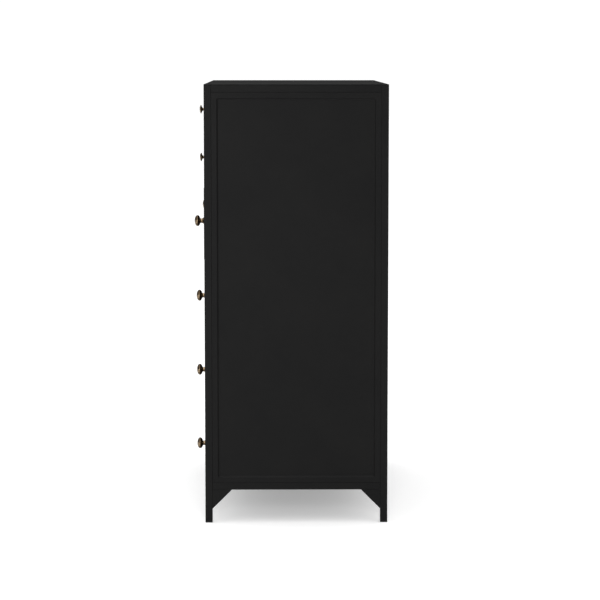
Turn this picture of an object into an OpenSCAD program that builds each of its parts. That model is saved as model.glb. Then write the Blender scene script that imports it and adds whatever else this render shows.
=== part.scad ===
// Tall steel chest of drawers: a welded square-tube frame with pressed sheet panels,
// two rows of paired small drawers over four full-width drawers, all on telescopic slides.
// Millimetres. +Z is up, the drawers face -Y, and the floor is Z = 0.

/* [Cabinet] */
// Width over the side panels
cabinet_w = 965; // [800:5:1200]
// Depth of the body, without the knobs
cabinet_d = 508; // [500:1:560]
// Height from the floor to the top face
cabinet_h = 1219; // [1180:1:1260]
// Clear height under the body
leg_clear = 93; // [70:1:110]
// Leg of the triangular corner gussets
gusset_leg = 54; // [30:1:60]
// Thickness of the corner gussets
gusset_t = 3; // [2:0.5:5]

/* [Frame] */
// Outside width of the square frame tube
tube_w = 20; // [20:1:24]
// Wall of the frame tube
tube_wall = 1.5; // [1:0.1:2.5]
// Thickness of the top plate
top_t = 2; // [1.5:0.5:4]
// Thickness of the sheet that the panels and drawers are folded from
sheet_t = 0.8; // [0.7:0.1:1.2]
// Width of the flat band around the pressed field of a panel
band_w = 35; // [28:1:60]
// Depth of the pressed field
press_depth = 4; // [2:0.5:6]
// Height of the thick foot of a glide
glide_h = 3; // [2:0.5:6]

/* [Drawers] */
// Height of the rails between drawers
rail_h = 8; // [6:0.5:14]
// Height of a small drawer's opening
small_open_h = 128; // [110:1:140]
// Gap around a drawer front
front_gap = 2; // [1.5:0.5:4]
// Depth of a drawer front's folded pan
front_t = 15; // [12:1:20]
// How far a closed drawer front sits back in its opening
front_recess = 3; // [0:0.5:5]
// Width of the flange folded inwards behind a drawer front
return_w = 25; // [22:1:30]
// Height of the hem along the mouth of a drawer box
hem_h = 10; // [6:1:14]
// How far a drawer pulls out
travel = 440; // [300:5:440]
// How far the uppermost wide drawer stands open at rest
ajar = 4.5; // [0:0.5:6]

/* [Knobs] */
// How far a large knob stands out
large_knob_len = 29.5; // [24:0.5:36]
// Diameter of a large knob's head
large_knob_d = 31.5; // [24:0.5:36]
// Distance of a large knob from the cabinet's side
large_knob_inset = 134; // [90:1:240]
// How far a small knob stands out
small_knob_len = 22; // [16:0.5:26]
// Diameter of a small knob's head
small_knob_d = 25; // [18:0.5:28]

/* [Slides] */
// Length of each slide member
slide_len = 450; // [440:5:450]
// Height of the cabinet member
slide_h = 45; // [45:1:50]
// Width of the closed slide, from the cabinet wall to the drawer side
slide_w = 12.7; // [12.7:0.1:13.5]

/* [Fixings] */
// Radius of the holes for a wall anchor in the top rear rail
anchor_r = 2.75; // [2:0.25:3.5]
// Distance between the two wall anchor holes
anchor_spacing = 400; // [200:10:600]

/* [Hidden] */
frame_nodes = [
    "front_left_post", "front_right_post", "rear_left_post", "rear_right_post",
    "side_rails", "rear_rails", "front_rails", "centre_partition",
    "left_side_panel", "right_side_panel", "back_panel", "top_panel", "base_panel",
    "corner_gussets", "foot_glides", "slide_supports", "cabinet_slides", "slide_screws"
];
// The small drawers, row by row and left to right as seen from the front
small_names = ["top_left_drawer", "top_right_drawer", "second_left_drawer", "second_right_drawer"];
// The wide drawers, from the top down
wide_names = ["wide_drawer_1", "wide_drawer_2", "wide_drawer_3", "wide_drawer_4"];
drawer_parts = ["_front", "_box", "_knobs", "_runners", "_slide_middle"];
eps = 0.01;
// Hairline gap between the sheets of a drawer box
seam = 0.1;

// Colours
paint = [0.13, 0.13, 0.13];
brass = [0.45, 0.36, 0.24];
zinc = [0.72, 0.73, 0.74];
nylon = [0.08, 0.08, 0.08];

// Where the body stands: the origin is under the middle of the whole, knobs included.
front_y = -(cabinet_d - large_knob_len - ajar + front_recess) / 2;
back_y = front_y + cabinet_d;
half_w = cabinet_w / 2;
inner_x = half_w - tube_w;
inner_front_y = front_y + tube_w;
inner_back_y = back_y - tube_w;
inner_d = inner_back_y - inner_front_y;
body_top = cabinet_h - top_t;

// Openings, from the floor up: four wide ones, then two rows of small ones
wide_open_h = (body_top - leg_clear - 7 * rail_h - 2 * small_open_h) / 4;
wide_open_w = 2 * inner_x;
small_open_w = inner_x - tube_w / 2;
function wide_z(i) = leg_clear + rail_h + (3 - i) * (wide_open_h + rail_h);
function small_z(row) = wide_z(0) + wide_open_h + rail_h + (1 - row) * (small_open_h + rail_h);
small_x = (inner_x + tube_w / 2) / 2;
partition_z = small_z(1);

// Drawer boxes
pan_y = front_y + front_recess;
box_y = pan_y + front_t;
box_d = slide_len;
box_lift = 14;
box_headroom = 18;
small_box_h = small_open_h - box_lift - box_headroom;
wide_box_h = wide_open_h - box_lift - box_headroom;
small_slide_z = box_lift + small_box_h / 2;
wide_slide_z = box_lift + wide_box_h / 2;
slide_y = box_y + 4;

// Slide sections. A name ending in _u is a distance from the cabinet wall.
slide_t = 1.2;
ball_d = 3.2;
outer_depth = 9;
middle_h = slide_h - 2 * slide_t - 2 * ball_d;
middle_u = 3.4;
middle_depth = 7.1;
runner_h = middle_h - 2 * slide_t - 2 * ball_d;
runner_depth = 6.7;
cage_slack = 30;
cage_len = slide_len - travel / 2 - cage_slack;
cage_h = 2.4;
cage_w = 2.8;
cage_end_gap = 8;
outer_cage_u = 4.6;
inner_cage_u = 6.6;
support_h = 40;
support_depth = 12;

// Fixings
screw_r = 2;
screw_hole_r = 2.15;
screw_head_r = 3.6;
screw_head_h = 1.6;
slide_screw_y = [36, 230, 414];
driver_hole_r = 4.2;
knob_hole_depth = 9;
knob_hole_r = 2.05;

// Plugs of the foot glides
plug_gap = 0.2;
plug_h = 14;

// ---- helpers -------------------------------------------------------------

// A box with its low corner at p and size s
module block(p, s) {
    translate(p) cube(s);
}

// Square tube along an axis: p is its low corner, len its length
module tube_along_x(p, len) {
    difference() {
        block(p, [len, tube_w, tube_w]);
        block(p + [-eps, tube_wall, tube_wall],
              [len + 2 * eps, tube_w - 2 * tube_wall, tube_w - 2 * tube_wall]);
    }
}

module tube_along_y(p, len) {
    difference() {
        block(p, [tube_w, len, tube_w]);
        block(p + [tube_wall, -eps, tube_wall],
              [tube_w - 2 * tube_wall, len + 2 * eps, tube_w - 2 * tube_wall]);
    }
}

module tube_along_z(p, len) {
    difference() {
        block(p, [tube_w, tube_w, len]);
        block(p + [tube_wall, tube_wall, -eps],
              [tube_w - 2 * tube_wall, tube_w - 2 * tube_wall, len + 2 * eps]);
    }
}

module cylinder_along_x(p, r, len) {
    translate(p) rotate([0, 90, 0]) cylinder(r = r, h = len, $fn = 48);
}

module cylinder_along_y(p, r, len) {
    translate(p) rotate([-90, 0, 0]) cylinder(r = r, h = len, $fn = 48);
}

// A pan-head screw that points along -X, with the underside of its head at X = 0
module screw_to_minus_x(shank) {
    cylinder_along_x([-shank, 0, 0], screw_r, shank);
    cylinder_along_x([0, 0, 0], screw_head_r, screw_head_h);
}

// A pressed sheet w by h in the XY plane, its flange on top at Z = 0 and its field pressed down
module pressed_sheet(w, h, flange) {
    fw = w - 2 * flange;
    fh = h - 2 * flange;
    difference() {
        union() {
            block([0, 0, -sheet_t], [w, h, sheet_t]);
            block([flange - sheet_t, flange - sheet_t, -press_depth - sheet_t],
                  [fw + 2 * sheet_t, fh + 2 * sheet_t, press_depth + sheet_t - eps]);
        }
        block([flange, flange, -press_depth], [fw, fh, press_depth + eps]);
    }
}

// ---- frame ---------------------------------------------------------------

module post(x, y) {
    color(paint) tube_along_z([x, y, glide_h], body_top - glide_h);
}

module front_left_post() { post(-half_w, front_y); }
module front_right_post() { post(inner_x, front_y); }
module rear_left_post() { post(-half_w, inner_back_y); }
module rear_right_post() { post(inner_x, inner_back_y); }

module side_rails() {
    color(paint)
    for (x = [-half_w, inner_x], z = [leg_clear, body_top - tube_w])
        tube_along_y([x, inner_front_y, z], inner_d);
}

// The top rear rail has two holes for a wall anchor. The middle one carries the partition.
module rear_rails() {
    rear_rail_z = [leg_clear, body_top - tube_w];
    middle_rail_y = inner_back_y - press_depth - 2 * sheet_t;
    color(paint) difference() {
        union() {
            for (z = rear_rail_z)
                tube_along_x([-inner_x, inner_back_y, z], 2 * inner_x);
            tube_along_x([-inner_x, middle_rail_y, partition_z], 2 * inner_x);
        }
        for (side = [-1, 1])
            cylinder_along_y([side * anchor_spacing / 2, inner_back_y - 1, body_top - tube_w / 2],
                             anchor_r, tube_w + 2);
    }
}

// A shallow channel, open to the rear
module front_rail(x, z, len) {
    difference() {
        block([x, front_y, z], [len, tube_w, rail_h]);
        block([x - eps, front_y + sheet_t, z + sheet_t],
              [len + 2 * eps, tube_w, rail_h - 2 * sheet_t]);
    }
}

module front_rails() {
    color(paint) {
        for (i = [0:3])
            front_rail(-inner_x, wide_z(i) - rail_h, wide_open_w);
        front_rail(-inner_x, partition_z - rail_h, wide_open_w);
        front_rail(-inner_x, body_top - rail_h, wide_open_w);
        for (x = [-inner_x, tube_w / 2])
            front_rail(x, small_z(0) - rail_h, small_open_w);
    }
}

// A hollow sheet box between the left and the right small drawers
module partition_shape(inset) {
    rear = inner_back_y - press_depth - 2 * sheet_t;
    polygon([
        [front_y + inset, partition_z + inset],
        [rear - inset, partition_z + inset],
        [rear - inset, body_top - inset],
        [inner_front_y + inset, body_top - inset],
        [inner_front_y + inset, body_top - rail_h - inset],
        [front_y + inset, body_top - rail_h - inset]
    ]);
}

module centre_partition() {
    core_w = tube_w - 2 * sheet_t;
    holes_y = [for (y = slide_screw_y) slide_y + y];
    color(paint) difference() {
        rotate([90, 0, 90]) translate([0, 0, -tube_w / 2])
            linear_extrude(tube_w) partition_shape(0);
        rotate([90, 0, 90]) translate([0, 0, -core_w / 2])
            linear_extrude(core_w) partition_shape(sheet_t);
        for (row = [0, 1], y = holes_y)
            cylinder_along_x([-tube_w, y, small_z(row) + small_slide_z], screw_hole_r, 2 * tube_w);
    }
}

module side_panel(side) {
    panel_h = body_top - leg_clear - 2 * tube_w;
    color(paint)
    translate([side * half_w, side > 0 ? inner_front_y : inner_back_y, leg_clear + tube_w])
    rotate([90, 0, side * 90])
        pressed_sheet(inner_d, panel_h, band_w - tube_w);
}

module left_side_panel() { side_panel(-1); }
module right_side_panel() { side_panel(1); }

module back_panel() {
    panel_h = body_top - leg_clear - 2 * tube_w;
    color(paint)
    translate([inner_x, back_y, leg_clear + tube_w])
    rotate([90, 0, 180])
        pressed_sheet(2 * inner_x, panel_h, band_w - tube_w);
}

module top_panel() {
    color(paint) block([-half_w, front_y, body_top], [cabinet_w, cabinet_d, top_t]);
}

module base_panel() {
    color(paint) block([-inner_x, inner_front_y, leg_clear], [2 * inner_x, inner_d, sheet_t]);
}

// A right triangle plate in the XZ plane, its square corner at the origin
module gusset_plate() {
    rotate([90, 0, 0])
        linear_extrude(gusset_t)
            polygon([[0, 0], [-gusset_leg, 0], [0, -gusset_leg]]);
}

// Each post has one plate towards the front or rear and one towards the side
module corner_gussets() {
    color(paint)
    for (mx = [0, 1], my = [0, 1])
        mirror([mx, 0, 0])
        translate([0, (front_y + back_y) / 2, leg_clear])
        mirror([0, my, 0]) {
            translate([inner_x, gusset_t - cabinet_d / 2, 0]) gusset_plate();
            translate([half_w, tube_w - cabinet_d / 2, 0])
                rotate([0, 0, -90]) gusset_plate();
        }
}

// A plug in the foot of each post, with a pad under the tube
module foot_glides() {
    plug_w = tube_w - 2 * tube_wall - 2 * plug_gap;
    color(nylon)
    for (x = [-half_w, inner_x], y = [front_y, inner_back_y])
        translate([x + tube_w / 2, y + tube_w / 2, 0]) {
            block([-tube_w / 2, -tube_w / 2, 0], [tube_w, tube_w, glide_h]);
            block([-plug_w / 2, -plug_w / 2, glide_h - eps], [plug_w, plug_w, plug_h]);
        }
}

// ---- slides --------------------------------------------------------------

// Sections are drawn in the plane (distance from the cabinet wall, height).
module channel_section(u, depth, h) {
    translate([u, -h / 2]) square([slide_t, h]);
    for (s = [-1, 1])
        translate([u, s > 0 ? h / 2 - slide_t : -h / 2]) square([depth, slide_t]);
}

module outer_section() {
    channel_section(0, outer_depth, slide_h);
    for (s = [-1, 1])
        translate([outer_depth - slide_t, s > 0 ? slide_h / 2 - 2 * slide_t : slide_t - slide_h / 2])
            square([slide_t, slide_t]);
}

module middle_section() {
    channel_section(middle_u, middle_depth, middle_h);
}

module runner_section() {
    mirror([1, 0]) channel_section(-slide_w, runner_depth, runner_h);
}

// Puts a slide at a wall: side +1 is a wall on the right of the drawer, -1 on its left
module at_wall(wall_x, side, z) {
    translate([wall_x, slide_y, z])
        mirror([side > 0 ? 1 : 0, 0, 0])
            children();
}

module along_slide() {
    translate([0, slide_len, 0])
        rotate([90, 0, 0])
            linear_extrude(slide_len)
                children();
}

module cabinet_slide() {
    difference() {
        along_slide() outer_section();
        for (y = slide_screw_y)
            cylinder_along_x([-eps, y, 0], screw_hole_r, slide_t + 2 * eps);
    }
}

// The middle member with its four ball cages. The outer balls stay in its rear half and the
// inner ones in its front half, so each pair stays engaged over the whole travel.
module slide_middle() {
    outer_ball_z = middle_h / 2 + ball_d / 2;
    inner_ball_z = runner_h / 2 + ball_d / 2;
    difference() {
        along_slide() middle_section();
        for (y = slide_screw_y)
            cylinder_along_x([middle_u - eps, y, 0], driver_hole_r, slide_t + 2 * eps);
    }
    for (s = [-1, 1]) {
        block([outer_cage_u, slide_len - cage_len - cage_end_gap, s * outer_ball_z - cage_h / 2],
              [cage_w, cage_len, cage_h]);
        block([inner_cage_u, cage_end_gap, s * inner_ball_z - cage_h / 2],
              [cage_w, cage_len, cage_h]);
    }
}

module runner() {
    difference() {
        along_slide() runner_section();
        for (y = slide_screw_y)
            cylinder_along_x([slide_w - slide_t - eps, y, 0], screw_hole_r, slide_t + 2 * eps);
    }
    for (y = slide_screw_y)
        translate([slide_w - slide_t, y, 0])
            mirror([1, 0, 0]) screw_to_minus_x(slide_t + sheet_t + 3);
}

// Wall position and side of the two slides of a drawer whose opening is x0 to x1
module slide_pair(x0, x1, z) {
    at_wall(x0, -1, z) children();
    at_wall(x1, 1, z) children();
}

small_wall_in = tube_w / 2;

module small_slide_pair(side, row) {
    x0 = side < 0 ? -inner_x : small_wall_in;
    x1 = side < 0 ? -small_wall_in : inner_x;
    slide_pair(x0, x1, small_z(row) + small_slide_z) children();
}

module wide_slide_pair(i) {
    slide_pair(-inner_x, inner_x, wide_z(i) + wide_slide_z) children();
}

module cabinet_slides() {
    color(zinc) {
        for (side = [-1, 1], row = [0, 1])
            small_slide_pair(side, row) cabinet_slide();
        for (i = [0:3])
            wide_slide_pair(i) cabinet_slide();
    }
}

module slide_screws() {
    shank = slide_t + sheet_t + 5;
    color(zinc) {
        for (side = [-1, 1], row = [0, 1])
            small_slide_pair(side, row)
                for (y = slide_screw_y)
                    translate([slide_t, y, 0]) screw_to_minus_x(shank);
        for (i = [0:3])
            wide_slide_pair(i)
                for (y = slide_screw_y)
                    translate([slide_t, y, 0]) screw_to_minus_x(shank);
    }
}

// Channels between the front and rear posts that the cabinet members are screwed to
module slide_support(side, z) {
    holes_y = [for (y = slide_screw_y) slide_y + y];
    mirror([side < 0 ? 1 : 0, 0, 0]) difference() {
        block([inner_x, inner_front_y, z - support_h / 2], [support_depth, inner_d, support_h]);
        block([inner_x + sheet_t, inner_front_y - eps, z - support_h / 2 + sheet_t],
              [support_depth, inner_d + 2 * eps, support_h - 2 * sheet_t]);
        for (y = holes_y)
            cylinder_along_x([inner_x - eps, y, z], screw_hole_r, sheet_t + 2 * eps);
    }
}

module slide_supports() {
    color(paint)
    for (side = [-1, 1]) {
        for (row = [0, 1]) slide_support(side, small_z(row) + small_slide_z);
        for (i = [0:3]) slide_support(side, wide_z(i) + wide_slide_z);
    }
}

// ---- drawers -------------------------------------------------------------

// A folded pan centred on X = 0, its face at Y = 0 and its foot at Z = 0. A flange is folded
// inwards all round its rear, and the drawer box is welded to that.
module front_pan(w, h, knob_xs) {
    difference() {
        block([-w / 2, 0, 0], [w, front_t, h]);
        block([-w / 2 + sheet_t, sheet_t, sheet_t],
              [w - 2 * sheet_t, front_t - 2 * sheet_t, h - 2 * sheet_t]);
        block([-w / 2 + return_w, sheet_t, return_w],
              [w - 2 * return_w, front_t, h - 2 * return_w]);
        for (x = knob_xs)
            cylinder_along_y([x, -eps, h / 2], screw_hole_r, sheet_t + 2 * eps);
    }
}

// A wall of the drawer box, w long and h high, its outer face at Y = 0. Its hem is folded
// inwards and stops hem_gap short of each end.
module hemmed_wall(w, h, hem_gap) {
    block([0, 0, 0], [w, sheet_t, h]);
    block([hem_gap, sheet_t - eps, h - hem_h], [w - 2 * hem_gap, sheet_t + eps, hem_h]);
}

// A drawer box of five sheets, with a hem along its mouth. Hairline seams keep them apart.
// knob_z is the height of the knobs' screws in the box.
module drawer_tub(w, h, knob_xs, knob_z) {
    wall_h = h - sheet_t - seam;
    end_w = w - 2 * sheet_t - 2 * seam;
    screw_holes = [for (y = slide_screw_y) y + slide_y - box_y];
    block([-w / 2, 0, 0], [w, box_d, sheet_t]);
    difference() {
        translate([-end_w / 2, 0, sheet_t + seam]) hemmed_wall(end_w, wall_h, 0);
        for (x = knob_xs)
            cylinder_along_y([x, -eps, knob_z], screw_hole_r, sheet_t + 2 * eps);
    }
    translate([end_w / 2, box_d, sheet_t + seam]) rotate([0, 0, 180])
        hemmed_wall(end_w, wall_h, 0);
    for (side = [-1, 1])
        mirror([side < 0 ? 0 : 1, 0, 0])
            difference() {
                translate([-w / 2, box_d, sheet_t + seam]) rotate([0, 0, -90])
                    hemmed_wall(box_d, wall_h, 2 * sheet_t + seam);
                for (y = screw_holes)
                    cylinder_along_x([-w / 2 - eps, y, h / 2], screw_hole_r, sheet_t + 2 * eps);
            }
}

// Points of an elliptical arc centred at [cr, cz], from angle a0 to a1 in n steps
function arc(cr, cz, rr, rz, a0, a1, n) =
    [for (i = [0:n]) let (a = a0 + (a1 - a0) * i / n) [cr + rr * cos(a), cz + rz * sin(a)]];

// Turned outlines, as [radius, distance from the drawer front]. Both knobs start with a plinth
// and a hollow flare up to the waist.
plinth_h = 2.5;

function flare(foot_r, waist_r, waist_z) = concat(
    [[0, 0], [foot_r, 0], [foot_r, plinth_h]],
    arc(foot_r, waist_z, foot_r - waist_r, waist_z - plinth_h, 270, 180, 8)
);

// Large knob, with an oval head
function large_profile(len, d) =
    let (head = len * 0.288)
    concat(
        flare(d * 0.43, d * 0.2, len * 0.4),
        arc(0, len - head, d / 2, head, -64, 90, 18)
    );

// Small knob, with a thin domed disc for a head
rim_r = 1.2;

function small_profile(len, d) =
    let (rim_z = len * 0.89)
    concat(
        flare(d * 0.38, d * 0.165, len * 0.56),
        [[d * 0.175, len * 0.6], [d * 0.3, len * 0.7]],
        arc(d / 2 - rim_r, rim_z - rim_r, rim_r, rim_r, -60, 75, 6),
        arc(0, rim_z, d / 2 - 2 * rim_r, len - rim_z, 10, 90, 6)
    );

// Knob on the drawer front at Y = 0, pointing along -Y, with its fixing screw from inside
module knob(profile, hole_depth) {
    color(brass) difference() {
        rotate([90, 0, 0]) rotate_extrude($fn = 64) polygon(profile);
        cylinder_along_y([0, -hole_depth, 0], knob_hole_r, hole_depth + eps);
    }
    color(zinc) {
        cylinder_along_y([0, 1 - hole_depth, 0], screw_r, front_t + sheet_t + hole_depth - 1);
        cylinder_along_y([0, front_t + sheet_t, 0], screw_head_r, screw_head_h);
    }
}

module small_at(side, row) {
    translate([side * small_x, pan_y, small_z(row)]) children();
}

module wide_at(i) {
    translate([0, i == 0 ? pan_y - ajar : pan_y, wide_z(i)]) children();
}

module small_front(side, row) {
    color(paint) small_at(side, row) translate([0, 0, front_gap])
        front_pan(small_open_w - 2 * front_gap, small_open_h - 2 * front_gap, [0]);
}

module small_box(side, row) {
    color(paint) small_at(side, row) translate([0, front_t, box_lift])
        drawer_tub(small_open_w - 2 * slide_w, small_box_h, [0], small_open_h / 2 - box_lift);
}

module small_knob(side, row) {
    small_at(side, row) translate([0, 0, small_open_h / 2])
        knob(small_profile(small_knob_len, small_knob_d), knob_hole_depth);
}

module small_runners(side, row) {
    color(zinc) small_slide_pair(side, row) runner();
}

module small_middle(side, row) {
    color(zinc) small_slide_pair(side, row) slide_middle();
}

large_knob_xs = [-half_w + large_knob_inset, half_w - large_knob_inset];

module wide_front(i) {
    color(paint) wide_at(i) translate([0, 0, front_gap])
        front_pan(wide_open_w - 2 * front_gap, wide_open_h - 2 * front_gap, large_knob_xs);
}

module wide_box(i) {
    color(paint) wide_at(i) translate([0, front_t, box_lift])
        drawer_tub(wide_open_w - 2 * slide_w, wide_box_h, large_knob_xs, wide_open_h / 2 - box_lift);
}

module wide_knobs(i) {
    wide_at(i)
        for (x = large_knob_xs)
            translate([x, 0, wide_open_h / 2])
                knob(large_profile(large_knob_len, large_knob_d), knob_hole_depth);
}

module wide_runners(i) {
    color(zinc) translate([0, i == 0 ? -ajar : 0, 0]) wide_slide_pair(i) runner();
}

module wide_middle(i) {
    color(zinc) translate([0, i == 0 ? -ajar / 2 : 0, 0]) wide_slide_pair(i) slide_middle();
}

// ---- nodes ---------------------------------------------------------------

front_left_post();
front_right_post();
rear_left_post();
rear_right_post();
side_rails();
rear_rails();
front_rails();
centre_partition();
left_side_panel();
right_side_panel();
back_panel();
top_panel();
base_panel();
corner_gussets();
foot_glides();
slide_supports();
cabinet_slides();
slide_screws();

for (k = [0:3]) {
    name = small_names[k];
    side = k % 2 == 0 ? -1 : 1;
    row = floor(k / 2);
    small_front(side, row);
    small_box(side, row);
    small_knob(side, row);
    small_runners(side, row);
    small_middle(side, row);
}

for (k = [0:3]) {
    name = wide_names[k];
    wide_front(k);
    wide_box(k);
    wide_knobs(k);
    wide_runners(k);
    wide_middle(k);
}
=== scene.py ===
import math

import bmesh
import bpy
from mathutils import Matrix, Vector


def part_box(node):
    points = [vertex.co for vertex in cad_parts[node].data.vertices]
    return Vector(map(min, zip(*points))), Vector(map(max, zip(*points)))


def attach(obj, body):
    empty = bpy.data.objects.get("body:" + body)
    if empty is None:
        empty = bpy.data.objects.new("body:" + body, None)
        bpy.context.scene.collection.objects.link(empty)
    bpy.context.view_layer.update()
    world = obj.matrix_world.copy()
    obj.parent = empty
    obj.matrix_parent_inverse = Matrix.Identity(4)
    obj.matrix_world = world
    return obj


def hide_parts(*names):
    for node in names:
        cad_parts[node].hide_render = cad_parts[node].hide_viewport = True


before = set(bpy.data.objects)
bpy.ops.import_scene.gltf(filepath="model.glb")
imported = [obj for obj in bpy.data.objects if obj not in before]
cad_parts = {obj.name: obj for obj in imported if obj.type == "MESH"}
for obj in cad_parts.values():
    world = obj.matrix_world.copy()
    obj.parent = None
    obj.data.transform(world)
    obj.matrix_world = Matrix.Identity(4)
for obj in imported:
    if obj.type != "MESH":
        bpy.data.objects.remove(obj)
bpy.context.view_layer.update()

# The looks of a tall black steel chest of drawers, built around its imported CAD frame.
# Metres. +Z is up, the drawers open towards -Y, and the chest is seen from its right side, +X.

MM = 0.001

SMALL_DRAWERS = ("top_left_drawer", "top_right_drawer", "second_left_drawer", "second_right_drawer")
WIDE_DRAWERS = ("wide_drawer_1", "wide_drawer_2", "wide_drawer_3", "wide_drawer_4")
DRAWERS = SMALL_DRAWERS + WIDE_DRAWERS


# ---- materials --------------------------------------------------------------

class Shader:
    """A node material with a Principled surface, and short ways to add what feeds it."""

    def __init__(self, name, roughness=0.5, metallic=0.0, specular=0.5):
        self.material = bpy.data.materials.new(name)
        self.material.use_nodes = True
        self.tree = self.material.node_tree
        self.surface = self.tree.nodes["Principled BSDF"]
        self.surface.inputs["Roughness"].default_value = roughness
        self.surface.inputs["Metallic"].default_value = metallic
        self.surface.inputs["Specular IOR Level"].default_value = specular
        self.place = self.node("ShaderNodeTexCoord").outputs["Object"]

    def node(self, kind, **settings):
        made = self.tree.nodes.new(kind)
        for key, value in settings.items():
            setattr(made, key, value)
        return made

    def join(self, source, target):
        self.tree.links.new(source, target)

    def stretched(self, scale):
        """Object coordinates with each axis scaled, for streaks."""
        mapping = self.node("ShaderNodeMapping")
        mapping.inputs["Scale"].default_value = scale
        self.join(self.place, mapping.inputs["Vector"])
        return mapping.outputs["Vector"]

    def noise(self, scale, detail=2.0, rough=0.5, place=None):
        made = self.node("ShaderNodeTexNoise")
        made.inputs["Scale"].default_value = scale
        made.inputs["Detail"].default_value = detail
        made.inputs["Roughness"].default_value = rough
        self.join(place or self.place, made.inputs["Vector"])
        return made.outputs["Fac"]

    def ramp(self, value, stops):
        """Colour ramp: stops are (position, colour)."""
        made = self.node("ShaderNodeValToRGB")
        points = made.color_ramp.elements
        while len(points) < len(stops):
            points.new(0.5)
        for point, (position, colour) in zip(points, stops):
            point.position = position
            point.color = (*colour, 1.0)
        self.join(value, made.inputs["Fac"])
        return made.outputs["Color"]

    def spread(self, value, low, high, from_low=0.3, from_high=0.7):
        """Maps a value from from_low..from_high, where noise mostly keeps, to low..high."""
        made = self.node("ShaderNodeMapRange")
        made.inputs["From Min"].default_value = from_low
        made.inputs["From Max"].default_value = from_high
        made.inputs["To Min"].default_value = low
        made.inputs["To Max"].default_value = high
        self.join(value, made.inputs["Value"])
        return made.outputs["Result"]

    def bump(self, height, distance, strength=1.0, under=None):
        made = self.node("ShaderNodeBump")
        made.inputs["Distance"].default_value = distance
        made.inputs["Strength"].default_value = strength
        self.join(height, made.inputs["Height"])
        if under is not None:
            self.join(under, made.inputs["Normal"])
        return made.outputs["Normal"]

    def finish(self, colour=None, roughness=None, normal=None):
        for name, value in (("Base Color", colour), ("Roughness", roughness), ("Normal", normal)):
            if value is not None:
                self.join(value, self.surface.inputs[name])
        return self.material


def black_paint():
    """Satin black powder coat: a fine orange peel, faint mottling and the sheet's slight waviness."""
    s = Shader("black_paint", specular=0.12)
    mottle = s.noise(6.0, detail=5.0, rough=0.6)
    colour = s.ramp(mottle, [(0.3, (0.0026, 0.0026, 0.0027)), (0.7, (0.0038, 0.0037, 0.0036))])
    haze = s.noise(2.2, detail=3.0)
    waves = s.noise(3.0, detail=0.0)
    peel = s.noise(700.0, detail=1.0)
    normal = s.bump(waves, 0.5 * MM, 0.3)
    normal = s.bump(peel, 0.05 * MM, 0.35, under=normal)
    return s.finish(colour, s.spread(haze, 0.48, 0.56), normal)


def aged_brass():
    """Dark aged brass, worn bright in small uneven patches that are also a little smoother."""
    s = Shader("aged_brass", metallic=1.0)
    patina = s.noise(110.0, detail=5.0, rough=0.62)
    colour = s.ramp(patina, [(0.34, (0.030, 0.018, 0.009)), (0.5, (0.108, 0.074, 0.043)),
                             (0.68, (0.47, 0.365, 0.245))])
    pits = s.noise(900.0, detail=2.0)
    return s.finish(colour, s.spread(patina, 0.24, 0.16), s.bump(pits, 0.05 * MM, 0.25))


def zinc_plate():
    """Zinc plating with drawn streaks along the slide and a faint warm and cool tint."""
    s = Shader("zinc_plate", metallic=1.0)
    tint = s.noise(9.0, detail=3.0)
    colour = s.ramp(tint, [(0.3, (0.25, 0.27, 0.30)), (0.55, (0.32, 0.33, 0.335)),
                           (0.75, (0.35, 0.335, 0.30))])
    streaks = s.noise(60.0, detail=3.0, place=s.stretched((20.0, 0.6, 20.0)))
    return s.finish(colour, s.spread(streaks, 0.3, 0.45), s.bump(streaks, 0.02 * MM, 0.4))


def black_nylon():
    """Matt moulded nylon, finely grained."""
    s = Shader("black_nylon", specular=0.4)
    mould = s.noise(300.0, detail=2.0)
    colour = s.ramp(mould, [(0.3, (0.008, 0.008, 0.008)), (0.7, (0.016, 0.016, 0.017))])
    return s.finish(colour, s.spread(mould, 0.55, 0.7), s.bump(mould, 0.06 * MM, 0.4))


FLOOR_GLOW = 0.29


def floor_paint():
    """The studio floor: near white, with a little light of its own so that shadows stay soft."""
    s = Shader("studio_floor", roughness=0.9, specular=0.1)
    dust = s.noise(0.7, detail=2.0)
    colour = s.ramp(dust, [(0.3, (0.86, 0.86, 0.86)), (0.7, (0.90, 0.90, 0.90))])
    s.surface.inputs["Emission Color"].default_value = (1.0, 1.0, 1.0, 1.0)
    s.surface.inputs["Emission Strength"].default_value = FLOOR_GLOW
    return s.finish(colour)


PAINT, BRASS, ZINC, NYLON = black_paint(), aged_brass(), zinc_plate(), black_nylon()


# ---- making pieces ----------------------------------------------------------

def dress(node, material, bevel):
    """Gives a CAD node its material, with its edges rounded by modifiers."""
    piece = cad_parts[node]
    piece.data.materials.clear()
    piece.data.materials.append(material)
    weld = piece.modifiers.new("weld", "WELD")
    weld.merge_threshold = 0.001 * MM
    rounding = piece.modifiers.new("rounding", "BEVEL")
    rounding.width = bevel
    rounding.segments = 2
    rounding.limit_method = "ANGLE"
    rounding.angle_limit = math.radians(40)
    rounding.harden_normals = True


def new_mesh(name, shape, sharp_angle=35.0):
    """A smooth-shaded mesh from a bmesh, sharp at folds above sharp_angle degrees."""
    bmesh.ops.recalc_face_normals(shape, faces=shape.faces)
    mesh = bpy.data.meshes.new(name)
    shape.to_mesh(mesh)
    shape.free()
    for face in mesh.polygons:
        face.use_smooth = True
    mesh.set_sharp_from_angle(angle=math.radians(sharp_angle))
    return mesh


def add_piece(name, mesh, material, body, node=None, at=None):
    """Links a mesh as a piece that rides on a body. Its node, if given, is the one it stands for."""
    piece = bpy.data.objects.new(name, mesh)
    bpy.context.scene.collection.objects.link(piece)
    if not mesh.materials:
        mesh.materials.append(material)
    if at is not None:
        piece.matrix_world = at if isinstance(at, Matrix) else Matrix.Translation(at)
    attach(piece, body)
    if node:
        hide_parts(node)
    return piece


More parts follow.
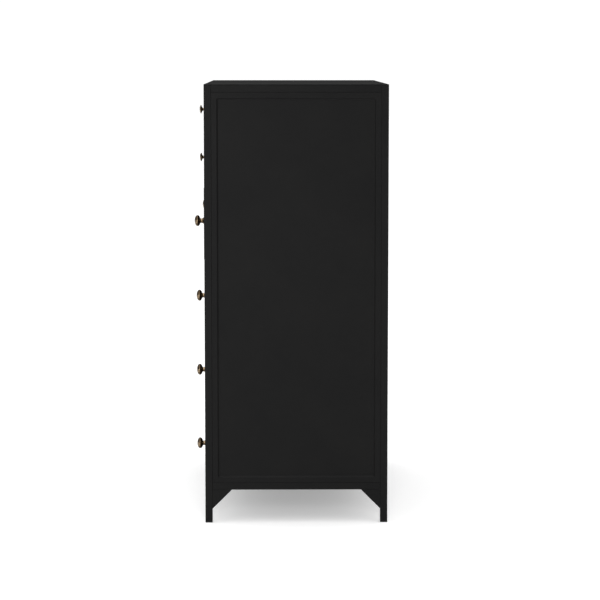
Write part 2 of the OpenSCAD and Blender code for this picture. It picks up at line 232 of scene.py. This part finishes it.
def strip(shape, first, second, closed=True):
    """Quads between two rings of vertices of the same length."""
    count = len(first)
    for i in range(count if closed else count - 1):
        j = (i + 1) % count
        shape.faces.new((first[i], first[j], second[j], second[i]))


def lathe(profile, segments=72):
    """Turns (radius, distance) points round the -Y axis. Ends on the axis are closed by fans."""
    shape = bmesh.new()
    rings = []
    for radius, distance in profile:
        if radius < 1e-6:
            rings.append([shape.verts.new((0.0, -distance, 0.0))])
            continue
        ring = []
        for i in range(segments):
            angle = math.tau * i / segments
            ring.append(shape.verts.new((radius * math.cos(angle), -distance, radius * math.sin(angle))))
        rings.append(ring)
    for first, second in zip(rings, rings[1:]):
        if len(first) == 1 or len(second) == 1:
            centre, ring = (first, second) if len(first) == 1 else (second, first)
            for i in range(segments):
                shape.faces.new((centre[0], ring[i], ring[(i + 1) % segments]))
        else:
            strip(shape, first, second)
    return shape


def arc(centre, radii, start, end, steps):
    """Points of an elliptical arc, angles in degrees."""
    angles = [math.radians(start + (end - start) * i / steps) for i in range(steps + 1)]
    return [(centre[0] + radii[0] * math.cos(a), centre[1] + radii[1] * math.sin(a)) for a in angles]


def offset_line(line, distance):
    """A polyline moved sideways, to its left for a positive distance."""
    moved = []
    for i, point in enumerate(line):
        before, after = Vector(line[max(i - 1, 0)]), Vector(line[min(i + 1, len(line) - 1)])
        along = (after - before).normalized()
        moved.append((point[0] - along.y * distance, point[1] + along.x * distance))
    return moved


def carved(mesh, cutter):
    """A mesh with a cutter mesh taken out of it."""
    solid = bpy.data.objects.new("solid", mesh)
    tool = bpy.data.objects.new("tool", cutter)
    for thing in (solid, tool):
        bpy.context.scene.collection.objects.link(thing)
    cut = solid.modifiers.new("cut", "BOOLEAN")
    cut.operation, cut.solver, cut.object = "DIFFERENCE", "EXACT", tool
    depsgraph = bpy.context.evaluated_depsgraph_get()
    depsgraph.update()
    result = bpy.data.meshes.new_from_object(solid.evaluated_get(depsgraph))
    for thing in (solid, tool):
        bpy.data.objects.remove(thing)
    bpy.data.meshes.remove(cutter)
    shape = bmesh.new()
    shape.from_mesh(result)
    bmesh.ops.remove_doubles(shape, verts=shape.verts, dist=0.002 * MM)
    name = mesh.name
    bpy.data.meshes.remove(mesh)
    return new_mesh(name, shape)


# ---- knobs ------------------------------------------------------------------

def flare(foot_r, waist_r, waist_at, plinth=2.5 * MM, soft=0.6 * MM):
    """A plinth with a rounded rim, then a hollow flare up to the waist."""
    rise = waist_at - plinth
    return ([(0.0, 0.0), (foot_r - 0.2 * MM, 0.0), (foot_r, 0.2 * MM)]
            + arc((foot_r - soft, plinth - soft), (soft, soft), 0, 80, 5)
            + arc((foot_r - soft, waist_at), (foot_r - soft - waist_r, rise), 270, 180, 16)[1:])


def large_knob_outline(length, radius):
    """Oval head on a waisted neck. Radii and distances from the drawer front."""
    half_head = 0.288 * length
    head = arc((0.0, length - half_head), (radius, half_head), -64, 90, 40)
    neck = flare(0.86 * radius, 0.4 * radius, 0.4 * length)
    return neck + head[:-1] + [(0.0, length)]


def small_knob_outline(length, radius):
    """Thin domed disc with a conical back on a waisted neck."""
    rim = 1.25 * MM
    rim_at = 0.89 * length
    neck = flare(0.76 * radius, 0.33 * radius, 0.56 * length)
    back = [(0.36 * radius, 0.61 * length), (0.44 * radius, 0.66 * length), (0.6 * radius, 0.7 * length),
            (0.78 * radius, 0.74 * length)]
    edge = arc((radius - rim, rim_at - rim), (rim, rim), -60, 70, 10)
    dome = arc((0.0, rim_at - 0.1 * MM), (radius - 2 * rim, length - rim_at + 0.1 * MM), 8, 90, 14)
    return neck + back + edge + dome[:-1] + [(0.0, length)]


SCREW_R = 2.0 * MM
SCREW_TIP = 0.6 * MM
HEAD_R = 3.6 * MM
HEAD_H = 1.6 * MM
HEAD_SOFT = 0.9 * MM
RECESS_ARM = 0.45 * MM
KNOB_SCREW_GRIP = 6 * MM


def cross_recess():
    """A tapered cross along Y, to be cut out of a screw's head."""
    shape = bmesh.new()
    ends = []
    for y, reach in ((HEAD_H + 0.5 * MM, 2.5 * MM), (HEAD_H - 0.9 * MM, 1.0 * MM)):
        corners = []
        for k in range(4):
            turn = Matrix.Rotation(math.radians(-90.0 * k), 3, "Y")
            for x, z in ((reach, -RECESS_ARM), (reach, RECESS_ARM), (RECESS_ARM, RECESS_ARM)):
                corners.append(shape.verts.new(turn @ Vector((x, y, z))))
        ends.append(corners)
    strip(shape, *ends)
    for corners in ends:
        shape.faces.new(corners)
    return new_mesh("cross_recess", shape)


def screw_mesh(name, shank):
    """Pan-head screw along -Y: its shank starts at Y = 0 and its cross-recessed head is behind it."""
    head = arc((HEAD_R - HEAD_SOFT, HEAD_SOFT - HEAD_H), (HEAD_SOFT, HEAD_SOFT), 270, 360, 8)
    shaft = [(HEAD_R, 0.0), (SCREW_R, 0.0), (SCREW_R, shank - SCREW_TIP), (SCREW_R - SCREW_TIP, shank)]
    outline = [(0.0, -HEAD_H)] + head + shaft + [(0.0, shank)]
    return carved(new_mesh(name, lathe(outline, 40)), cross_recess())


def add_knobs():
    """A turned knob and its screw, twice on the wide drawers."""
    for drawer in DRAWERS:
        node = drawer + "_knobs"
        low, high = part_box(node)
        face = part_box(drawer + "_front")[0][1]
        wide = drawer in WIDE_DRAWERS
        radius = (high[2] - low[2]) / 2
        outline = (large_knob_outline if wide else small_knob_outline)(face - low[1], radius)
        mesh = new_mesh(node, lathe(outline), sharp_angle=50.0)
        screw = screw_mesh(node + "_screw", high[1] - HEAD_H - face + KNOB_SCREW_GRIP)
        places = (low[0] + radius, high[0] - radius) if wide else ((low[0] + high[0]) / 2,)
        for side, x in zip(("left", "right") if wide else ("",), places):
            end = "_" + side if side else ""
            z = (low[2] + high[2]) / 2
            add_piece(node + "_turned" + end, mesh, BRASS, drawer, node, at=(x, face, z))
            add_piece(node + "_screw" + end, screw, ZINC, drawer, node,
                      at=(x, high[1] - HEAD_H, z))


# ---- slides -----------------------------------------------------------------
# A slide's section is drawn as (u, v): u is the distance from the cabinet wall and v the height.
# Each member is one bent strip, and its ball races curl round the rows of balls. Strips and holes
# are placed along Y from a slide's front end.

SHEET = 1.2 * MM
BALL_R = 1.5 * MM
RACE_R = 2.2 * MM
OUTER_BALLS = (6.0 * MM, 19.7 * MM)
INNER_BALLS = (8.0 * MM, 15.3 * MM)
RUNNER_NEAR = 6.0 * MM
RUNNER_WEB = 11.5 * MM
HOLES_ALONG = (36 * MM, 230 * MM, 414 * MM)
OUTER_SLOTS = (32 * MM, 32 * MM, -32 * MM)
RUNNER_SLOTS = (28 * MM, 28 * MM, -28 * MM)
OUTER_WEB_AT = SHEET / 2
MIDDLE_WEB_AT = 4.0 * MM
RUNNER_WEB_AT = RUNNER_WEB + SHEET / 2
SLOT_R = 2.3 * MM
SCREW_HOLE_R = 2.15 * MM
DRIVER_HOLE_R = 4.2 * MM


def outer_line():
    """Upper half of the cabinet member's centre line, from the middle of its web."""
    u, v = OUTER_BALLS
    top = v + RACE_R
    return ([(OUTER_WEB_AT, 0.0)] + arc((2.4 * MM, top - 1.8 * MM), (1.8 * MM, 1.8 * MM), 180, 90, 6)
            + arc((u, v), (RACE_R, RACE_R), 90, -25, 12))


def middle_line():
    u, v = INNER_BALLS
    top = v + RACE_R
    return ([(MIDDLE_WEB_AT, 0.0)] + arc((5.4 * MM, top - 1.4 * MM), (1.4 * MM, 1.4 * MM), 180, 90, 6)
            + arc((u, v), (RACE_R, RACE_R), 90, -25, 12))


def runner_line():
    u, v = INNER_BALLS
    low = v - RACE_R
    bend = 1.4 * MM
    return ([(RUNNER_WEB_AT, 0.0)] + arc((RUNNER_WEB_AT - bend, low - bend), (bend, bend), 0, 90, 6)
            + arc((u, v), (RACE_R, RACE_R), 270, 195, 9))


def strip_outline(half_line):
    """Closed outline of a strip of the sheet's thickness along a half line and its mirror image."""
    line = [(u, -v) for u, v in reversed(half_line[1:])] + half_line[1:]
    return offset_line(line, SHEET / 2) + offset_line(line, -SHEET / 2)[::-1]


def member_mesh(name, half_line, length, holes, web_at):
    """Extrudes a member's section along Y and cuts holes through its web at U = web_at.

    holes are (y, half_slot, radius), where half_slot is 0 for a round hole.
    """
    shape = bmesh.new()
    rings = []
    for y in (0.0, length):
        rings.append([shape.verts.new((u, y, v)) for u, v in strip_outline(half_line)])
    strip(shape, rings[0], rings[1])
    for ring in rings:
        shape.faces.new(ring)
    cutters = bmesh.new()
    for y, half_slot, radius in holes:
        slot_outline = (arc((y - half_slot, 0.0), (radius, radius), 90, 270, 14)
                        + arc((y + half_slot, 0.0), (radius, radius), -90, 90, 14))
        ends = []
        for u in (web_at - 2 * MM, web_at + 2 * MM):
            ends.append([cutters.verts.new((u, a, b)) for a, b in slot_outline])
        strip(cutters, ends[0], ends[1])
        for ring in ends:
            cutters.faces.new(ring)
    return carved(new_mesh(name, shape), new_mesh("holes", cutters))


def cage_mesh(name, length):
    """Four rows of balls, each in its thin strip. The outer rows sit at the rear, the inner in front."""
    cage_length, end_gap = 200 * MM, 8 * MM
    balls, pitch, first_ball = 14, 14 * MM, 0.65
    size = (2.6 * MM, cage_length, 0.6 * MM)
    shape = bmesh.new()
    for (u, v), start in ((OUTER_BALLS, length - cage_length - end_gap), (INNER_BALLS, end_gap)):
        for s in (-1, 1):
            plate = bmesh.ops.create_cube(shape, size=1.0)["verts"]
            bmesh.ops.scale(shape, vec=size, verts=plate)
            bmesh.ops.translate(shape, vec=(u, start + cage_length / 2, s * v), verts=plate)
            for k in range(balls):
                ball = bmesh.ops.create_icosphere(shape, subdivisions=2, radius=BALL_R)["verts"]
                bmesh.ops.translate(shape, vec=(u, start + (k + first_ball) * pitch, s * v), verts=ball)
    return new_mesh(name, shape)


def screws_mesh(name, shank):
    """The screws of one member, seen from the wall side, with their heads at U = 0 towards -U."""
    one = screw_mesh(name + "_one", shank)
    shape = bmesh.new()
    for y in HOLES_ALONG:
        shape.from_mesh(one)
        fresh = shape.verts[-len(one.vertices):]
        turn = Matrix.Rotation(math.radians(-90.0), 3, "Z")
        bmesh.ops.rotate(shape, cent=(0, 0, 0), matrix=turn, verts=fresh)
        bmesh.ops.translate(shape, vec=(0.0, y, 0.0), verts=fresh)
    bpy.data.meshes.remove(one)
    return new_mesh(name, shape)


def for_right_wall(mesh):
    """A mirror image, for the slide on the other side of a drawer."""
    shape = bmesh.new()
    shape.from_mesh(mesh)
    bmesh.ops.scale(shape, vec=(-1.0, 1.0, 1.0), verts=shape.verts)
    return new_mesh(mesh.name + "_right", shape)


def slide_parts():
    """The meshes that all slides share, each for a left and a right wall."""
    low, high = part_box("wide_drawer_2_runners")
    length = high[1] - low[1]
    outer_holes = [(y, 0.0, SCREW_HOLE_R) for y in HOLES_ALONG]
    outer_holes += [(y + d, 5 * MM, SLOT_R) for y, d in zip(HOLES_ALONG, OUTER_SLOTS)]
    driver_holes = [(y, 0.0, DRIVER_HOLE_R) for y in HOLES_ALONG]
    runner_slots = [(y + d, 4 * MM, SLOT_R) for y, d in zip(HOLES_ALONG, RUNNER_SLOTS)]
    left = {
        "outer": member_mesh("outer_member", outer_line(), length, outer_holes, OUTER_WEB_AT),
        "middle": member_mesh("middle_member", middle_line(), length, driver_holes, MIDDLE_WEB_AT),
        "runner": member_mesh("runner_member", runner_line(), length, runner_slots, RUNNER_WEB_AT),
        "cages": cage_mesh("ball_cages", length),
        "runner_screws": screws_mesh("runner_screws", 5 * MM),
        "wall_screws": screws_mesh("wall_screws", 7 * MM),
    }
    return {key: (mesh, for_right_wall(mesh)) for key, mesh in left.items()}


def add_slides():
    """Two slides for each drawer: its runners, the cabinet members and the middle members between."""
    parts = slide_parts()
    slide_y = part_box("cabinet_slides")[0][1]
    for drawer in DRAWERS:
        low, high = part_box(drawer + "_runners")
        z = (low[2] + high[2]) / 2
        middle_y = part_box(drawer + "_slide_middle")[0][1]
        walls = (low[0] - RUNNER_NEAR, high[0] + RUNNER_NEAR)
        for i, (side, wall) in enumerate(zip(("left", "right"), walls)):
            inward = 1 - 2 * i

            def put(key, node, body, y, u=0.0):
                add_piece(f"{drawer}_{key}_{side}", parts[key][i], ZINC, body, node,
                          at=(wall + inward * u, y, z))

            put("outer", "cabinet_slides", "root", slide_y)
            put("wall_screws", "slide_screws", "root", slide_y, SHEET)
            put("middle", drawer + "_slide_middle", drawer + "_middle_member", middle_y)
            put("cages", drawer + "_slide_middle", drawer + "_middle_member", middle_y)
            put("runner", drawer + "_runners", drawer, low[1])
            put("runner_screws", drawer + "_runners", drawer, low[1], RUNNER_WEB)


# ---- pressed panels ---------------------------------------------------------

FLANGE = 15 * MM
PRESS = 4 * MM
FIELD_CORNER = 6 * MM
THIN_SHEET = 0.8 * MM


def rounded_rectangle(width, height, radius, steps=8):
    """Corner by corner, counterclockwise from the right-hand lower corner's start."""
    points = []
    for k, (sx, sy) in enumerate(((1, -1), (1, 1), (-1, 1), (-1, -1))):
        centre = (sx * (width / 2 - radius), sy * (height / 2 - radius))
        start = -90 + 90 * k
        points += arc(centre, (radius, radius), start, start + 90, steps)
    return points


def press_profile():
    """(inset, depth) from the sheet's edge, over the crest, down a sloping wall to the field."""
    crest, root, lean = 1.0 * MM, 1.2 * MM, 46.0
    start = FLANGE - 0.6 * MM
    line = [(0.25 * MM, 0.0), (start - 0.5 * MM, 0.0)]
    line += arc((start, -crest), (crest, crest), 90, 90 - lean, 6)
    foot = arc((0.0, root - PRESS), (root, root), 270 - lean, 270, 6)
    slope = math.tan(math.radians(lean))
    across = (line[-1][1] - foot[0][1]) / slope
    shift = line[-1][0] + across - foot[0][0]
    return line + [(x + shift, y) for x, y in foot] + [(foot[-1][0] + shift + 0.5 * MM, -PRESS)]


def folded_mesh(name, width, height, line, corner):
    """A folded sheet in the XY plane, from its free edge along line to the middle of its face.

    line holds (inset, z) points of the outer skin, and the sheet lies to its right. corner gives
    the radius of the corners at an inset.
    """
    shape = bmesh.new()
    rims = []
    for skin in (line, offset_line(line, -THIN_SHEET)):
        rings = []
        for inset, z in skin:
            outline = rounded_rectangle(width - 2 * inset, height - 2 * inset, corner(inset))
            rings.append([shape.verts.new((x, y, z)) for x, y in outline])
        for first, second in zip(rings, rings[1:]):
            strip(shape, first, second)
        shape.faces.new(rings[-1])
        rims.append(rings[0])
    strip(shape, rims[0], rims[1])
    return new_mesh(name, shape, sharp_angle=50.0)


# Stands up a sheet drawn facing +Z, so that it faces +X
UPRIGHT = Matrix(((0, 0, 1, 0), (1, 0, 0, 0), (0, 1, 0, 0), (0, 0, 0, 1)))
TURN_TO = {"right": 0.0, "back": 90.0, "left": 180.0, "front": -90.0}


def facing(side, middle, reach):
    """Turns a sheet drawn facing +Z to face a side of the chest and moves its face to reach from middle."""
    turn = Matrix.Rotation(math.radians(TURN_TO[side]), 4, "Z")
    out = turn @ Vector((1.0, 0.0, 0.0))
    return Matrix.Translation(middle + out * reach) @ turn @ UPRIGHT


def press_corner(inset):
    """The corners are widest where the sunk field begins, and sharp at the sheet's edge."""
    return max(FIELD_CORNER - abs(inset - FLANGE), 0.5 * MM)


def add_panels():
    """The side and back panels, their sunk fields' corners a little rounded."""
    for side in ("right", "left", "back"):
        node = "back_panel" if side == "back" else side + "_side_panel"
        low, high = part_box(node)
        size = high - low
        width, depth = (size.x, size.y) if side == "back" else (size.y, size.x)
        mesh = folded_mesh(node + "_pressed", width, size.z, press_profile(), press_corner)
        add_piece(node + "_pressed", mesh, PAINT, "root", node,
                  at=facing(side, (low + high) / 2, depth / 2))


def front_profile(depth):
    """(inset, z) from the free edge of the rear flange, round two folds and onto the face."""
    bend, flange = 1.3 * MM, 25 * MM
    return ([(flange, -depth), (bend + 0.4 * MM, -depth)]
            + [(bend - x, y) for x, y in arc((0.0, bend - depth), (bend, bend), 270, 360, 5)]
            + [(bend - x, y) for x, y in arc((0.0, -bend), (bend, bend), 0, 90, 5)]
            + [(bend + 0.4 * MM, 0.0)])


def front_corner(inset):
    return max(1.6 * MM - inset, 0.3 * MM)


def add_fronts():
    """Folded drawer fronts. Their knobs' feet cover the screw holes."""
    for drawer in DRAWERS:
        node = drawer + "_front"
        low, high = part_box(node)
        size = high - low
        mesh = folded_mesh(node + "_folded", size.x, size.z, front_profile(size.y), front_corner)
        add_piece(node + "_folded", mesh, PAINT, drawer, node,
                  at=facing("front", (low + high) / 2, size.y / 2))


# ---- rear rails -------------------------------------------------------------

TUBE = 20 * MM
TUBE_WALL = 1.5 * MM
ANCHOR_SPACING = 400 * MM
ANCHOR_R = 2.75 * MM


def tube_mesh(name, length, holes):
    """A square tube along X from the origin, its corners rounded, with anchor holes through it."""
    shape = bmesh.new()
    rings = []
    for x in (0.0, length):
        for side, radius in ((TUBE, 1.2 * MM), (TUBE - 2 * TUBE_WALL, 0.4 * MM)):
            rings.append([shape.verts.new((x, a, b)) for a, b in rounded_rectangle(side, side, radius, 4)])
    strip(shape, rings[0], rings[2])
    strip(shape, rings[3], rings[1])
    strip(shape, rings[1], rings[0])
    strip(shape, rings[2], rings[3])
    mesh = new_mesh(name, shape)
    if not holes:
        return mesh
    drills = bmesh.new()
    across = Matrix.Rotation(math.radians(90), 4, "X")
    for x in holes:
        drill = bmesh.ops.create_cone(drills, cap_ends=True, segments=32, radius1=ANCHOR_R,
                                      radius2=ANCHOR_R, depth=2 * TUBE, matrix=across)["verts"]
        bmesh.ops.translate(drills, vec=(x, 0.0, 0.0), verts=drill)
    return carved(mesh, new_mesh("drills", drills))


def add_rear_rails():
    """The top one has the two wall anchor holes, and the middle one carries the partition."""
    low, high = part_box("rear_rails")
    partition_low, partition_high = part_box("centre_partition")
    anchors = (-low.x - ANCHOR_SPACING / 2, -low.x + ANCHOR_SPACING / 2)
    rear = high.y - TUBE / 2
    for name, y, z, holes in (
            ("rear_rail_top", rear, high.z - TUBE / 2, anchors),
            ("rear_rail_bottom", rear, low.z + TUBE / 2, ()),
            ("rear_rail_middle", partition_high.y + TUBE / 2, partition_low.z + TUBE / 2, ())):
        add_piece(name, tube_mesh(name, high.x - low.x, holes), PAINT, "root", "rear_rails",
                  at=(low.x, y, z))


# ---- the rest of the steelwork ----------------------------------------------

TUBE_EDGE = 1.0 * MM
SHEET_EDGE = 0.35 * MM


def dress_steelwork():
    """The CAD nodes that show as they are, with their edges rounded."""
    for node in ("front_left_post", "front_right_post", "rear_left_post", "rear_right_post", "side_rails"):
        dress(node, PAINT, TUBE_EDGE)
    for node in ("front_rails", "centre_partition", "base_panel", "slide_supports"):
        dress(node, PAINT, SHEET_EDGE)
    for drawer in DRAWERS:
        dress(drawer + "_box", PAINT, SHEET_EDGE)
    dress("corner_gussets", PAINT, 0.5 * MM)
    dress("top_panel", PAINT, 0.8 * MM)
    dress("foot_glides", NYLON, 0.6 * MM)


# ---- studio -----------------------------------------------------------------

HORIZON_LIGHT = 0.068
ZENITH_LIGHT = 2.4
DIM_BELOW = 0.6
BRIGHT_ABOVE = 0.95
ROOM_LIGHT = 0.98
BACKDROP_LIGHT = 1.05


def make_world():
    """An even white room. Gloss reflects it dim at the horizon and bright overhead, as with a softbox.

    The camera sees plain white behind the floor.
    """
    world = bpy.data.worlds.new("studio_room")
    bpy.context.scene.world = world
    world.use_nodes = True
    nodes, links = world.node_tree.nodes, world.node_tree.links

    def light(strength, colour=None):
        made = nodes.new("ShaderNodeBackground")
        made.inputs["Strength"].default_value = strength
        if colour is None:
            made.inputs["Color"].default_value = (1.0, 1.0, 1.0, 1.0)
        else:
            links.new(colour, made.inputs["Color"])
        return made.outputs["Background"]

    def choose(test, otherwise, chosen):
        made = nodes.new("ShaderNodeMixShader")
        links.new(ray.outputs[test], made.inputs["Fac"])
        links.new(otherwise, made.inputs[1])
        links.new(chosen, made.inputs[2])
        return made.outputs["Shader"]

    ray = nodes.new("ShaderNodeLightPath")
    place = nodes.new("ShaderNodeTexCoord")
    split = nodes.new("ShaderNodeSeparateXYZ")
    ramp = nodes.new("ShaderNodeValToRGB")
    stops = ((DIM_BELOW, HORIZON_LIGHT), (BRIGHT_ABOVE, ZENITH_LIGHT))
    for point, (position, value) in zip(ramp.color_ramp.elements, stops):
        point.position = position
        point.color = (value, value, value, 1.0)
    links.new(place.outputs["Generated"], split.inputs["Vector"])
    links.new(split.outputs["Z"], ramp.inputs["Fac"])
    glossy = choose("Is Glossy Ray", light(ROOM_LIGHT), light(1.0, ramp.outputs["Color"]))
    seen = choose("Is Camera Ray", glossy, light(BACKDROP_LIGHT))
    links.new(seen, nodes["World Output"].inputs["Surface"])


FLOOR_RADIUS = 40.0


def make_floor():
    shape = bmesh.new()
    bmesh.ops.create_circle(shape, cap_ends=True, radius=FLOOR_RADIUS, segments=96)
    mesh = new_mesh("studio_floor", shape)
    mesh.materials.append(floor_paint())
    floor = bpy.data.objects.new("studio_floor", mesh)
    bpy.context.scene.collection.objects.link(floor)


def soft_light(name, position, target, size, power, reflected=True, shading=True):
    """An area lamp, which can be left out of the reflections, or light by them alone."""
    data = bpy.data.lights.new(name, "AREA")
    data.shape = "RECTANGLE"
    data.size, data.size_y = size
    data.energy = power
    lamp = bpy.data.objects.new(name, data)
    bpy.context.scene.collection.objects.link(lamp)
    lamp.location = position
    aim = Vector(target) - Vector(position)
    lamp.rotation_euler = aim.to_track_quat("-Z", "Y").to_euler()
    lamp.visible_camera = False
    lamp.visible_glossy = reflected
    lamp.visible_diffuse = shading


def make_lights():
    """The key is only seen in reflections, such as the knobs'. The right lamp stands by the camera's
    line of sight, so that the chest hides its shadow.
    """
    middle = (0.0, 0.0, 0.7)
    soft_light("overhead", (0.0, -0.2, 3.4), middle, (2.6, 2.2), 20.0)
    soft_light("front", (-0.4, -3.4, 2.4), middle, (1.4, 2.0), 14.0)
    soft_light("key", (3.6, -1.8, 1.8), (0.0, -0.25, 0.9), (1.4, 2.8), 75.0, shading=False)
    soft_light("rear", (-0.8, 3.4, 2.2), middle, (1.4, 2.0), 8.0)
    soft_light("right", (5.2, 0.0, 1.5), (0.4, 0.0, 0.0), (1.0, 1.6), 108.0, reflected=False)


CAMERA_PLACE = (6.6, -0.04, 1.302)
CAMERA_YAW = -0.6137
CAMERA_PITCH = 6.311
CAMERA_LENS = 133.6


def make_camera():
    """Looks along -X at the chest's right side, turned by a yaw and down by a pitch, in degrees."""
    data = bpy.data.cameras.new("camera")
    data.sensor_width = 36.0
    data.lens = CAMERA_LENS
    data.clip_end = 100.0
    camera = bpy.data.objects.new("camera", data)
    bpy.context.scene.collection.objects.link(camera)
    camera.location = CAMERA_PLACE
    camera.rotation_euler = (math.radians(90.0 - CAMERA_PITCH), 0.0, math.radians(90.0 + CAMERA_YAW))
    bpy.context.scene.camera = camera


dress_steelwork()
add_panels()
add_fronts()
add_rear_rails()
add_knobs()
add_slides()
make_world()
make_floor()
make_lights()
make_camera()
bpy.context.scene.view_settings.view_transform = "Standard"
